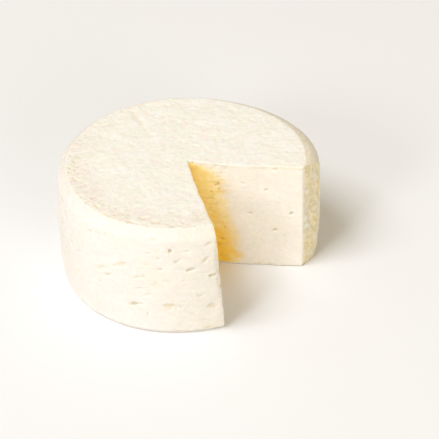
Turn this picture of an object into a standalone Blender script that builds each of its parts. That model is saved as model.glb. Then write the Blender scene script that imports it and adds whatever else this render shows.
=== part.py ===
"""Panela cheese: a pressed wheel of fresh white cheese with one wedge cut out of it.

The wheel stands on its flat base with its axis along +Z. Angles round it are
measured from -Y towards +X, so the open notch faces -Y and +X.
Units are metres.
"""

import math
import random
from collections import namedtuple

import bmesh
import bpy
from mathutils import Euler, Matrix, Vector, noise

MM = 0.001

# The turned form of the whole wheel.
RADIUS = 0.0900
BASE_RADIUS = 0.0888
HEIGHT = 0.0828
BELLY = 0.0018
SHOULDER_WIDTH = 0.0065
SHOULDER_DROP = 0.0080
FOOT_ROUNDING = 0.0022
TURN_STEPS = 96
SIDE_ROWS = 8
SHOULDER_STEPS = 7
FOOT_STEPS = 3
FLATNESS = math.radians(0.5)

# How the press leaves the wheel slightly out of round.
OVAL = 0.0167
OVAL_ANGLE = math.radians(-49.0)
LOBES = 0.0134
LOBE_ANGLE = math.radians(-26.4)
BASE_DRIFT = 0.0011
WIDE_SHOULDER = 1.55
WIDE_SHOULDER_ANGLE = math.radians(110.0)
DENT_DEPTH = 0.0006
DENT_SIZE = 0.022

# The notch, by the two knife cuts that meet near the axis. Each face runs straight
# out to its length, and from there its corner is broken back to the wheel's side.
Cut = namedtuple("Cut", "top_angle base_angle bow length corner_turn side")
LEFT_CUT = Cut(math.radians(10.9), math.radians(14.5), -0.0011, 0.0860, math.radians(-2.0), -1)
RIGHT_CUT = Cut(math.radians(79.7), math.radians(79.7), -0.0022, 0.0790, math.radians(8.3), 1)
NOTCH_TIP = Vector((0.0008, -0.0022))
CUT_LENGTH = 0.120
CUT_POINTS = 9
CUT_MARGIN = 0.010
BOW_SHARE = 0.7
MOUTH_REACH = 1.4
EDGE_SOFTENING = 0.0010
EDGE_STEPS = 2

# The holes that the whey and the press leave in the rind, in degrees and millimetres.
# Those by the notch have their own places, and the rest are drawn.
RindHole = namedtuple("RindHole", "angle height length width depth tilt")
FRONT_HOLES = (
    RindHole(-45.0, 70.0, 2.9, 2.4, 1.4, 0.0),
    RindHole(-36.0, 42.0, 7.5, 2.6, 1.1, 24.0),
    RindHole(-24.0, 23.5, 5.8, 3.3, 1.8, 24.0),
    RindHole(-8.3, 69.0, 6.2, 2.4, 1.7, 84.0),
    RindHole(-8.0, 25.0, 9.0, 5.2, 1.1, 6.0),
    RindHole(-5.5, 61.0, 3.6, 2.8, 1.1, 14.0),
    RindHole(0.2, 54.6, 5.6, 2.5, 2.0, 24.0),
    RindHole(6.5, 61.0, 7.0, 2.6, 1.1, 42.0),
    RindHole(7.5, 3.5, 9.0, 3.4, 1.1, 2.0),
    RindHole(9.0, 23.0, 6.6, 4.6, 1.0, 8.0),
    RindHole(9.4, 48.0, 6.2, 2.6, 2.0, 18.0),
)
SEED = 41
DRAWN_RANGE = (94.0, 301.0)
DRAWN_HEIGHTS = (4.0, 72.0)
DRAWN_HOLLOWS = 100
DEEP_SHARE = 0.16
DEEP_SIZES = ((2.8, 6.2), (2.2, 3.0), (1.4, 2.0))
SHALLOW_LENGTH = (2.4, 11.0, 5.0)
SHALLOW_NARROWNESS = (0.35, 0.70)
SHALLOW_WIDEST = 4.0
SHALLOW_DEPTH = (0.4, 1.2)
DRAWN_TILT = (14.0, 22.0)
SPACING = 4.5
LEAST_DEPTH = 1.0

# The holes that the knife lays open, by reach out from the notch's tip, in the same units.
CutHole = namedtuple("CutHole", "reach height length width tilt")
RIGHT_CUT_HOLES = (
    CutHole(20.1, 65.8, 3.8, 3.0, 40.0),
    CutHole(22.5, 20.7, 5.0, 1.8, -8.0),
    CutHole(19.7, 16.1, 4.4, 1.8, -6.0),
    CutHole(54.0, 63.6, 3.0, 2.0, 20.0),
)
CUT_SEED = 47
CUT_HOLES = 9
CUT_HOLE_SIZES = ((2.6, 4.6), (0.4, 0.8))
CUT_HOLE_REACH = (0.12, 0.94)
CUT_HOLE_HEIGHTS = (6.0, 62.0)
CUT_HOLE_TILT = 28.0
CUT_HOLE_SPACING = 9.0
CUT_HOLE_DEPTH = 0.55

CHEESE_COLOUR = (0.93, 0.87, 0.75, 1.0)
CHEESE_ROUGHNESS = 0.55


def clear_scene():
    """Remove every object of the open scene."""
    for existing in list(bpy.data.objects):
        bpy.data.objects.remove(existing, do_unlink=True)


def make_collection(name):
    """Make a collection in the scene."""
    collection = bpy.data.collections.new(name)
    bpy.context.scene.collection.children.link(collection)
    return collection


def make_material(name, colour, roughness):
    """Make a plain surface of one colour."""
    material = bpy.data.materials.new(name)
    material.use_nodes = True
    surface = material.node_tree.nodes["Principled BSDF"]
    surface.inputs["Base Color"].default_value = colour
    surface.inputs["Roughness"].default_value = roughness
    surface.inputs["Metallic"].default_value = 0.0
    return material


def direction(angle):
    """Give the flat unit vector at an angle from -Y towards +X."""
    return Vector((math.sin(angle), -math.cos(angle)))


def arc(centre, reach, start, end, steps):
    """Give the points of an elliptic arc, its first point left out."""
    angles = [start + (end - start) * step / steps for step in range(1, steps + 1)]
    return [(centre[0] + reach[0] * math.cos(a), centre[1] + reach[1] * math.sin(a)) for a in angles]


def shoulder_points():
    """Give the points down the shoulder, which starts at the flat top's rim and eases into the side."""
    climbs = [1 - step / SHOULDER_STEPS for step in range(SHOULDER_STEPS + 1)]
    return [(RADIUS - SHOULDER_WIDTH * climb**2, HEIGHT - SHOULDER_DROP * (1 - climb)) for climb in climbs]


def wheel_profile():
    """Give the half section from the centre of the top, down the side, to the centre of the base."""
    shoulder_foot = HEIGHT - SHOULDER_DROP
    points = [(0.0, HEIGHT)] + shoulder_points()
    for row in range(1, SIDE_ROWS):
        down = row / SIDE_ROWS
        radius = RADIUS + (BASE_RADIUS - RADIUS) * down + 4 * BELLY * down * (1 - down)
        points.append((radius, shoulder_foot + (FOOT_ROUNDING - shoulder_foot) * down))
    points.append((BASE_RADIUS, FOOT_ROUNDING))
    centre = (BASE_RADIUS - FOOT_ROUNDING, FOOT_ROUNDING)
    points += arc(centre, (FOOT_ROUNDING, FOOT_ROUNDING), 0.0, -math.pi / 2, FOOT_STEPS)
    return points + [(0.0, 0.0)]


def turn_profile(name, points, collection):
    """Turn a half section round the Z axis into a closed mesh object."""
    mesh = bpy.data.meshes.new(name)
    edges = [(index, index + 1) for index in range(len(points) - 1)]
    mesh.from_pydata([(x, 0.0, z) for x, z in points], edges, [])
    turned = bpy.data.objects.new(name, mesh)
    collection.objects.link(turned)
    screw = turned.modifiers.new("turn", "SCREW")
    screw.axis = "Z"
    screw.steps = TURN_STEPS
    screw.render_steps = TURN_STEPS
    screw.use_merge_vertices = True
    screw.merge_threshold = 0.00001
    turned.data = bpy.data.meshes.new_from_object(turned.evaluated_get(bpy.context.evaluated_depsgraph_get()))
    turned.modifiers.clear()
    return turned


def roundness(angle):
    """Give the factor on the radius at an angle round the wheel."""
    return 1 + OVAL * math.cos(2 * (angle - OVAL_ANGLE)) + LOBES * math.cos(3 * (angle - LOBE_ANGLE))


def shoulder_width(angle):
    """Give the width of the rounded shoulder, which is broader on one side."""
    broad = 0.5 + 0.5 * math.cos(angle - WIDE_SHOULDER_ANGLE)
    return SHOULDER_WIDTH * (1 + (WIDE_SHOULDER - 1) * broad**2)


def pressed(point):
    """Move one point of the turned wheel to where it is on the pressed wheel."""
    radius = math.hypot(point.x, point.y)
    if radius < FOOT_ROUNDING:
        return point.copy()
    angle = math.atan2(point.x, -point.y)
    upper = min(max(point.z / (HEIGHT - SHOULDER_DROP), 0.0), 1.0)
    if point.z > HEIGHT - SHOULDER_DROP:
        flat = RADIUS - SHOULDER_WIDTH
        wider = shoulder_width(angle)
        if radius > flat:
            radius = RADIUS - (RADIUS - radius) * wider / SHOULDER_WIDTH
        else:
            radius *= (RADIUS - wider) / flat
    radius *= roundness(angle)
    if FOOT_ROUNDING < point.z < HEIGHT - SHOULDER_DROP / 2:
        around = direction(angle) * RADIUS
        radius += DENT_DEPTH * noise.noise(Vector((around.x, around.y, point.z)) / DENT_SIZE)
    place = direction(angle) * radius
    return Vector((place.x - BASE_DRIFT * (1 - upper), place.y, point.z))


def press_wheel(wheel):
    """Press the turned wheel slightly out of round, with shallow dents round its side."""
    for vertex in wheel.data.vertices:
        vertex.co = pressed(vertex.co)


def cut_angle(cut, height):
    """Give the direction of a knife cut, which may lean, at a height."""
    rise = min(max(height / HEIGHT, 0.0), 1.0)
    return cut.base_angle + (cut.top_angle - cut.base_angle) * rise


def cut_point(cut, height, share, widening=0.0):
    """Give the point at a share of the way along one knife cut."""
    along = direction(cut_angle(cut, height))
    across = Vector((-along.y, along.x))
    swing = cut.bow * math.sin(math.pi * share**BOW_SHARE) + cut.side * widening
    return NOTCH_TIP + along * (cut.length * share) + across * swing


def cut_outline(cut, height, widening):
    """Give the points of one knife cut from near the notch's tip out past the wheel's side."""
    points = [cut_point(cut, height, step / CUT_POINTS, widening) for step in range(1, CUT_POINTS + 1)]
    corner = direction(cut_angle(cut, height) + cut.corner_turn) * RADIUS - points[-1]
    return points + [points[-1] + corner * (CUT_LENGTH - cut.length) / corner.length]


def notch_outline(height, widening):
    """Give the notch's outline seen from above, widened where its edges are soft."""
    left = cut_outline(LEFT_CUT, height, widening)
    right = cut_outline(RIGHT_CUT, height, widening)
    half = (RIGHT_CUT.top_angle - LEFT_CUT.top_angle) / 2
    middle = direction(LEFT_CUT.top_angle + half)
    tip = NOTCH_TIP - middle * (widening / math.sin(half))
    return [tip] + left + [middle * CUT_LENGTH * MOUTH_REACH] + right[::-1]


def notch_sections():
    """Give the heights of the notch's sections and how much each is widened."""
    base = [(-CUT_MARGIN, EDGE_SOFTENING)]
    for step in range(EDGE_STEPS + 1):
        turn = math.pi / 2 * step / EDGE_STEPS
        base.append((EDGE_SOFTENING * (1 - math.cos(turn)), EDGE_SOFTENING * (1 - math.sin(turn))))
    return base + [(HEIGHT - height, widening) for height, widening in base[::-1]]


def make_notch_cutter(name, collection):
    """Make the cutter that leaves the notch, lofted through its sections."""
    model = bmesh.new()
    rings = []
    for height, widening in notch_sections():
        ring = [model.verts.new((p.x, p.y, height)) for p in notch_outline(height, widening)]
        rings.append([model.edges.new((ring[i - 1], ring[i])) for i in range(len(ring))])
    for lower, upper in zip(rings, rings[1:]):
        bmesh.ops.bridge_loops(model, edges=lower + upper)
    bmesh.ops.holes_fill(model, edges=rings[0] + rings[-1])
    bmesh.ops.recalc_face_normals(model, faces=model.faces)
    return finish_cutter(model, name, collection)


def side_point(angle, height):
    """Give the point of the pressed wheel's side at an angle and a height."""
    down = 1 - (height - FOOT_ROUNDING) / (HEIGHT - SHOULDER_DROP - FOOT_ROUNDING)
    radius = RADIUS + (BASE_RADIUS - RADIUS) * down + 4 * BELLY * down * (1 - down)
    flat = direction(angle) * radius
    return pressed(Vector((flat.x, flat.y, height)))


def hole_shape(place, facing, length, width, depth, tilt):
    """Give the transform from a unit ball to a hole's ball, whose length runs level before its tilt."""
    turn = Euler((0.0, 0.0, facing)).to_matrix() @ Euler((0.0, -math.radians(tilt), 0.0)).to_matrix()
    scale = Matrix.Diagonal((length / 2 * MM, depth * MM, width / 2 * MM))
    return Matrix.Translation(place) @ (turn @ scale).to_4x4()


def draw_rind_hole(draw):
    """Draw one hollow of the rind: a few are deep, and the rest are broad and shallow."""
    if draw.random() < DEEP_SHARE:
        length, width, depth = (draw.uniform(*sizes) for sizes in DEEP_SIZES)
    else:
        length = draw.triangular(*SHALLOW_LENGTH)
        width = min(SHALLOW_WIDEST, length * draw.uniform(*SHALLOW_NARROWNESS))
        depth = draw.uniform(*SHALLOW_DEPTH)
    angle, height = draw.uniform(*DRAWN_RANGE), draw.uniform(*DRAWN_HEIGHTS)
    return RindHole(angle, height, length, width, depth, draw.gauss(*DRAWN_TILT))


def clear_of(hole, others, room):
    """Tell whether a hole of the rind keeps its room to the others, measured round the side."""
    around = math.radians(1.0) * RADIUS / MM
    return all(
        math.hypot((hole.angle - other.angle) * around, hole.height - other.height) > room for other in others
    )


def rind_holes():
    """Give the rind's holes that are deep enough to cut."""
    draw = random.Random(SEED)
    drawn = []
    while len(drawn) < DRAWN_HOLLOWS:
        hole = draw_rind_hole(draw)
        if clear_of(hole, drawn, SPACING + hole.length / 3):
            drawn.append(hole)
    return [hole for hole in FRONT_HOLES + tuple(drawn) if hole.depth >= LEAST_DEPTH]


def rind_hole_shapes():
    """Give the shapes of the rind's holes at their places on the wheel's side."""
    shapes = []
    for hole in rind_holes():
        angle = math.radians(hole.angle)
        place = side_point(angle, hole.height * MM)
        shapes.append(hole_shape(place, angle, hole.length, hole.width, hole.depth, hole.tilt))
    return shapes


def cut_holes(chosen, draw):
    """Give the holes that one knife cut lays open: the chosen ones, and others drawn clear of them."""
    holes = list(chosen)
    while len(holes) < CUT_HOLES:
        length = draw.uniform(*CUT_HOLE_SIZES[0])
        width = length * draw.uniform(*CUT_HOLE_SIZES[1])
        reach = draw.uniform(*CUT_HOLE_REACH) * RIGHT_CUT.length / MM
        hole = CutHole(reach, draw.uniform(*CUT_HOLE_HEIGHTS), length, width, draw.gauss(0.0, CUT_HOLE_TILT))
        if all(math.hypot(hole.reach - o.reach, hole.height - o.height) > CUT_HOLE_SPACING for o in holes):
            holes.append(hole)
    return holes


def cut_hole_shapes(cut, holes):
    """Give the shapes of a knife cut's holes at their places on its face."""
    shapes = []
    for hole in holes:
        height = hole.height * MM
        flat = cut_point(cut, height, hole.reach * MM / cut.length)
        facing = cut_angle(cut, height) - cut.side * math.pi / 2
        depth = hole.width * CUT_HOLE_DEPTH
        place = Vector((flat.x, flat.y, height))
        shapes.append(hole_shape(place, facing, hole.length, hole.width, depth, hole.tilt))
    return shapes


def make_hole_cutter(name, shapes, collection):
    """Make one cutter of balls, each stretched and turned to its hole's shape."""
    model = bmesh.new()
    for shape in shapes:
        bmesh.ops.create_icosphere(model, subdivisions=1, radius=1.0, matrix=shape)
    bmesh.ops.recalc_face_normals(model, faces=model.faces)
    return finish_cutter(model, name, collection)


def finish_cutter(model, name, collection):
    """Write a cutter's mesh to an object that isn't rendered."""
    mesh = bpy.data.meshes.new(name)
    model.to_mesh(mesh)
    model.free()
    cutter = bpy.data.objects.new(name, mesh)
    cutter.hide_render = True
    cutter.display_type = "WIRE"
    collection.objects.link(cutter)
    return cutter


def cut_with(target, cutter):
    """Cut a mesh out of the target with an exact Boolean."""
    modifier = target.modifiers.new(cutter.name, "BOOLEAN")
    modifier.operation = "DIFFERENCE"
    modifier.solver = "EXACT"
    modifier.object = cutter


def join_flat_facets(wheel):
    """Join the facets that lie flat together, such as those of the top and the base."""
    flat = wheel.modifiers.new("join_flat_facets", "DECIMATE")
    flat.decimate_type = "DISSOLVE"
    flat.angle_limit = FLATNESS


def centre_on_base(wheel, cutters):
    """Shift everything so that the pressed wheel's box is centred over the origin."""
    xs = [vertex.co.x for vertex in wheel.data.vertices]
    ys = [vertex.co.y for vertex in wheel.data.vertices]
    shift = Vector((-(min(xs) + max(xs)) / 2, -(min(ys) + max(ys)) / 2, 0.0))
    for piece in [wheel] + cutters:
        for vertex in piece.data.vertices:
            vertex.co += shift


def build_cheese():
    """Build the cut wheel of cheese."""
    clear_scene()
    model = make_collection("panela_cheese")
    cutters = make_collection("cutters")
    draw = random.Random(CUT_SEED)

    wheel = turn_profile("cheese_wheel", wheel_profile(), model)
    press_wheel(wheel)
    notch = make_notch_cutter("notch_cutter", cutters)
    side_holes = make_hole_cutter("side_hole_cutter", rind_hole_shapes(), cutters)
    open_holes = cut_hole_shapes(LEFT_CUT, cut_holes((), draw))
    open_holes += cut_hole_shapes(RIGHT_CUT, cut_holes(RIGHT_CUT_HOLES, draw))
    face_holes = make_hole_cutter("face_hole_cutter", open_holes, cutters)
    centre_on_base(wheel, [notch, side_holes, face_holes])

    cut_with(wheel, notch)
    join_flat_facets(wheel)
    cut_with(wheel, side_holes)
    cut_with(wheel, face_holes)
    wheel.data.materials.clear()
    wheel.data.materials.append(make_material("fresh_cheese", CHEESE_COLOUR, CHEESE_ROUGHNESS))
    wheel.data.shade_smooth()


build_cheese()
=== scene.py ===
"""Panela cheese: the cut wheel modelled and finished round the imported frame.

The wheel stands on its base with its axis along +Z. Angles round it are measured
from -Y towards +X, and the open notch faces -Y and +X. Units are metres, but the
marks and the noises give their sizes in millimetres.
"""

import logging
import math
import random
from collections.abc import Callable
from dataclasses import dataclass, field
from enum import Enum

import bmesh
import bpy
import numpy as np
from mathutils import Euler, Matrix, Vector, noise


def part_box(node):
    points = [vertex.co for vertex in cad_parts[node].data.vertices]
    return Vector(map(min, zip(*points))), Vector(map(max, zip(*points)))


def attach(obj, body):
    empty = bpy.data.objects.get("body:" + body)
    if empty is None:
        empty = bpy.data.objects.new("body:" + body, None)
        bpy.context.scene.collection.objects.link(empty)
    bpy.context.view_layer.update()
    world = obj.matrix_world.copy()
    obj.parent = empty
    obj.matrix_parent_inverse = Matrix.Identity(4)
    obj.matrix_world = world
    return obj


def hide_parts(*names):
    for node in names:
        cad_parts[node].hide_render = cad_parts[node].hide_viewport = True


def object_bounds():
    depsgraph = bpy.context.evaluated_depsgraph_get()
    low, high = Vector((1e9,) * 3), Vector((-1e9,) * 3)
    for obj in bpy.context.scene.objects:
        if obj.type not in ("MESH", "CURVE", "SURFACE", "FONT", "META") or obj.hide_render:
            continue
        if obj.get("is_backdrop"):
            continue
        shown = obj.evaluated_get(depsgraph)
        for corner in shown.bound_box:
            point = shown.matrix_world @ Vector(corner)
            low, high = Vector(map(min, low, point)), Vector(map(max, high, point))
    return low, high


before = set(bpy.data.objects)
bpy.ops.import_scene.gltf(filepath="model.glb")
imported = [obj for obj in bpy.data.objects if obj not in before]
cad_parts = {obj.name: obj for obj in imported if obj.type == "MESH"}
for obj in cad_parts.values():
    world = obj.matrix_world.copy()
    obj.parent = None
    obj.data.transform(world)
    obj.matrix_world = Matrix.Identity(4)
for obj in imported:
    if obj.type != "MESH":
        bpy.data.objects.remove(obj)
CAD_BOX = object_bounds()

log = logging.getLogger("panela_cheese")

Pair = tuple[float, float]
Range = tuple[float, float]
Triple = tuple[float, float, float]
Colour = tuple[float, float, float, float]
Piece = bpy.types.Object
Socket = bpy.types.NodeSocket

MM = 0.001
HAIR = 0.01 * MM
NODE = "cheese_wheel"
PIECE = "cheese_wheel_dressed"


class HollowKind(Enum):
    """The kinds of hollow that the whey and the press leave in the curd."""

    CRAG = "a broad shallow hollow in the rind"
    SLIT = "a deep narrow hole in the rind"
    EYE = "a small round hole in a cut face"


class VertexData(Enum):
    """What is read of a mesh's vertices."""

    PLACE = "co"
    NORMAL = "normal"


class Blend(Enum):
    """How one colour is laid on another."""

    COVER = "MIX"
    TINT = "MULTIPLY"


def direction(angle: float) -> Vector:
    """Give the level unit vector at an angle from -Y towards +X."""
    return Vector((math.sin(angle), -math.cos(angle)))


def angles_round(points: np.ndarray) -> np.ndarray:
    """Give the angles round the wheel's axis of places, one to a row."""
    return np.arctan2(points[:, 0], -points[:, 1])


def rise(limits: Range, values: np.ndarray) -> np.ndarray:
    """Ease values from 0 at the first limit to 1 at the second."""
    share = np.clip((values - limits[0]) / (limits[1] - limits[0]), 0.0, 1.0)
    return share * share * (3 - 2 * share)


def fall(limits: Range, values: np.ndarray) -> np.ndarray:
    """Ease values from 1 at the first limit to 0 at the second."""
    return 1 - rise(limits, values)


@dataclass(frozen=True)
class Lumps:
    """A smooth noise: its lumps' sizes in millimetres, its pattern's offset, and a share of finer noise."""

    sizes: Triple
    offset: float
    finer: "Lumps | None" = None
    finer_share: float = 0.0

    def at(self, points: np.ndarray) -> np.ndarray:
        """Sample the noise.

        Args:
            points: Places, one to a row.

        Returns:
            The noise, from about -1 to 1.
        """
        scaled = points / (np.array(self.sizes) * MM) + self.offset
        values = np.array([noise.noise(Vector(row)) for row in scaled])
        return values + self.finer_share * self.finer.at(points) if self.finer else values


def round_lumps(size: float, offset: float, finer: Lumps | None = None, finer_share: float = 0.0) -> Lumps:
    """Make a noise whose lumps are as wide as they are tall."""
    return Lumps((size, size, size), offset, finer, finer_share)


@dataclass(frozen=True)
class Patches:
    """Where a noise is strong: from 0 at its first limit to 1 at its second."""

    lumps: Lumps
    limits: Range

    def at(self, points: np.ndarray) -> np.ndarray:
        """Give the patches' strength at places, one to a row."""
        return rise(self.limits, self.lumps.at(points))


@dataclass(frozen=True)
class Creases:
    """Thin lines between the lumps of a noise, which show only in patches."""

    lumps: Lumps
    width: float
    shown: Patches

    def at(self, points: np.ndarray) -> np.ndarray:
        """Give 1 on the creases and 0 well away from them, at places, one to a row."""
        return fall((0.0, self.width), np.abs(self.lumps.at(points))) * self.shown.at(points)


def show_only(piece: Piece) -> None:
    """Make one object active and the only one selected.

    Args:
        piece: The object to work on.
    """
    if bpy.context.object and bpy.context.object.mode != "OBJECT":
        bpy.ops.object.mode_set(mode="OBJECT")
    bpy.ops.object.select_all(action="DESELECT")
    piece.select_set(True)
    bpy.context.view_layer.objects.active = piece


def select_edges(piece: Piece, wanted: Callable[[bmesh.types.BMEdge], bool]) -> None:
    """Select only the wanted edges of a mesh.

    Args:
        piece: A mesh object in edit mode.
        wanted: Tells whether an edge is wanted.
    """
    bpy.ops.mesh.select_all(action="DESELECT")
    model = bmesh.from_edit_mesh(piece.data)
    for edge in model.edges:
        edge.select_set(wanted(edge))
    bmesh.update_edit_mesh(piece.data)


def apply_modifier(piece: Piece, modifier: bpy.types.Modifier) -> None:
    """Apply a modifier to the piece that has it."""
    show_only(piece)
    bpy.ops.object.modifier_apply(modifier=modifier.name)


def vertex_values(piece: Piece, data: VertexData = VertexData.PLACE) -> np.ndarray:
    """Read the places or the unit normals of a mesh's vertices.

    Args:
        piece: A mesh object.
        data: What is read.

    Returns:
        The values, one vertex to a row.
    """
    values = np.empty(len(piece.data.vertices) * 3)
    piece.data.vertices.foreach_get(data.value, values)
    return values.reshape(-1, 3)


def move_vertices(piece: Piece, places: np.ndarray) -> None:
    """Put a mesh's vertices at new places, one to a row."""
    piece.data.vertices.foreach_set("co", places.ravel())
    piece.data.update()


def write_mark(piece: Piece, name: str, values: np.ndarray) -> None:
    """Write an attribute that the finish reads, with one number for each vertex."""
    attribute = piece.data.attributes.new(name, "FLOAT", "POINT")
    attribute.data.foreach_set("value", np.ascontiguousarray(values, dtype=np.float32))


@dataclass
class WheelForm:
    """The pressed wheel before it is cut: a turned form, slightly out of round."""

    radius: float = 90.0 * MM
    base_radius: float = 88.8 * MM
    height: float = 82.8 * MM
    belly: float = 1.8 * MM
    shoulder_width: float = 6.5 * MM
    shoulder_drop: float = 8.0 * MM
    foot_rounding: float = 2.2 * MM
    oval: float = 0.0167
    oval_angle: float = math.radians(-49.0)
    lobes: float = 0.0134
    lobe_angle: float = math.radians(-26.4)
    base_drift: float = 1.1 * MM
    wide_shoulder: float = 1.55
    wide_shoulder_angle: float = math.radians(110.0)
    columns: int = 256
    side_rows: int = 20
    shoulder_steps: int = 10
    foot_steps: int = 4

    def roundness(self, angle: np.ndarray) -> np.ndarray:
        """Give the factor on the radius, near 1, at angles round the wheel."""
        oval = self.oval * np.cos(2 * (angle - self.oval_angle))
        return 1 + oval + self.lobes * np.cos(3 * (angle - self.lobe_angle))

    def shoulder_at(self, angle: np.ndarray) -> np.ndarray:
        """Give the width of the rounded shoulder, which is broader on one side."""
        broad = 0.5 + 0.5 * np.cos(angle - self.wide_shoulder_angle)
        return self.shoulder_width * (1 + (self.wide_shoulder - 1) * broad**2)

    def side_radius(self, angle: np.ndarray, height: np.ndarray) -> np.ndarray:
        """Give the wheel's radius at an angle and a height.

        Args:
            angle: Angles in radians.
            height: Heights over the base in metres.

        Returns:
            The radii in metres.
        """
        shoulder_foot = self.height - self.shoulder_drop
        down = np.clip((shoulder_foot - height) / (shoulder_foot - self.foot_rounding), 0, 1)
        radius = self.radius + (self.base_radius - self.radius) * down + 4 * self.belly * down * (1 - down)
        climb = np.clip((height - shoulder_foot) / self.shoulder_drop, 0, 1)
        radius = radius - self.shoulder_at(angle) * climb**2
        low = np.clip(1 - height / self.foot_rounding, 0, 1)
        radius = radius - self.foot_rounding * (1 - np.sqrt(1 - low**2))
        return radius * self.roundness(angle)

    def drift(self, height: np.ndarray) -> np.ndarray:
        """Give how far the wheel's middle lies towards -X at heights over the base."""
        return self.base_drift * (1 - np.clip(height / (self.height - self.shoulder_drop), 0, 1))

    def depth(self, points: np.ndarray) -> np.ndarray:
        """Give how deep points lie under the uncut wheel's skin.

        Args:
            points: Places, one to a row, with the wheel's axis at the origin.

        Returns:
            The depths in metres, 0 on the skin.
        """
        x = points[:, 0] + self.drift(points[:, 2])
        angle = np.arctan2(x, -points[:, 1])
        side = self.side_radius(angle, points[:, 2]) - np.hypot(x, points[:, 1])
        return np.minimum(np.minimum(side, self.height - points[:, 2]), points[:, 2])

    def skin_point(self, angle: float, height: float) -> Vector:
        """Give the point of the wheel's side at an angle and a height."""
        flat = direction(angle) * float(self.side_radius(np.array(angle), np.array(height)))
        return Vector((flat.x - float(self.drift(np.array(height))), flat.y, height))

    def build(self, name: str) -> Piece:
        """Model the whole wheel from a cylinder, with rounded rims, and press it out of round.

        Args:
            name: The object's name.

        Returns:
            The wheel's object.
        """
        bpy.ops.mesh.primitive_cylinder_add(
            vertices=self.columns,
            radius=self.radius,
            depth=self.height,
            end_fill_type="NGON",
            location=(0, 0, self.height / 2),
        )
        wheel = bpy.context.object
        wheel.name = name
        bpy.ops.object.transform_apply(location=True, rotation=True, scale=True)
        bpy.ops.object.mode_set(mode="EDIT")
        for height, width, steps in (
            (self.height, self.shoulder_width, self.shoulder_steps),
            (0.0, self.foot_rounding, self.foot_steps),
        ):
            select_edges(wheel, lambda edge: all(abs(end.co.z - height) < HAIR for end in edge.verts))
            bpy.ops.mesh.bevel(offset=width, segments=steps, affect="EDGES")
        select_edges(wheel, lambda edge: abs(edge.verts[0].co.z - edge.verts[1].co.z) > self.height / 2)
        bpy.ops.mesh.subdivide(number_cuts=self.side_rows)
        bpy.ops.object.mode_set(mode="OBJECT")
        self._press(wheel)
        return wheel

    def _press(self, wheel: Piece) -> None:
        """Move the turned form's points to where they are on the pressed wheel.

        Args:
            wheel: The turned wheel.
        """
        points = vertex_values(wheel)
        angle = angles_round(points)
        radius = np.hypot(points[:, 0], points[:, 1])
        top = points[:, 2] > self.height - self.shoulder_width - HAIR
        climb = (points[:, 2] - self.height + self.shoulder_width) / self.shoulder_width
        points[top, 2] = self.height - self.shoulder_drop * (1 - climb[top])
        on_side = radius > self.radius - self.foot_rounding - self.shoulder_width - MM
        radius = np.where(on_side, self.side_radius(angle, points[:, 2]), radius)
        points[:, 0] = radius * np.sin(angle) - self.drift(points[:, 2])
        points[:, 1] = -radius * np.cos(angle)
        move_vertices(wheel, points)


@dataclass(frozen=True)
class KnifeCut:
    """One of the two faces of the notch, which runs out from the notch's tip."""

    top_angle: float
    base_angle: float
    bow: float
    length: float
    corner_turn: float
    side: int
    wave: float
    bow_power: float = 0.7
    wave_steps: Triple = (7.0, 30.0, 5.0)
    wave_growth: float = 6.0

    def angle_at(self, height: float, wheel: WheelForm) -> float:
        """Give the direction of the cut, which may lean, at a height over the base."""
        climb = min(max(height / wheel.height, 0.0), 1.0)
        return self.base_angle + (self.top_angle - self.base_angle) * climb

    def point(
        self, tip: Vector, wheel: WheelForm, height: float, share: float, widening: float = 0.0
    ) -> Vector:
        """Give the point at a share of the way along the cut.

        Args:
            tip: The notch's tip.
            wheel: The wheel's form.
            height: The height over the base.
            share: How far along the cut, from 0 to 1.
            widening: How far the cut is moved into the cheese.

        Returns:
            The point, seen from above.
        """
        along = direction(self.angle_at(height, wheel))
        across = Vector((-along.y, along.x))
        swing = self.bow * math.sin(math.pi * share**self.bow_power) + self.side * widening
        out, up, apart = self.wave_steps
        ripple = self.wave * noise.noise(Vector((share * out, height / up / MM, apart * self.side)))
        swing += ripple * min(1.0, self.wave_growth * share)
        return tip + along * (self.length * share) + across * swing


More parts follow.
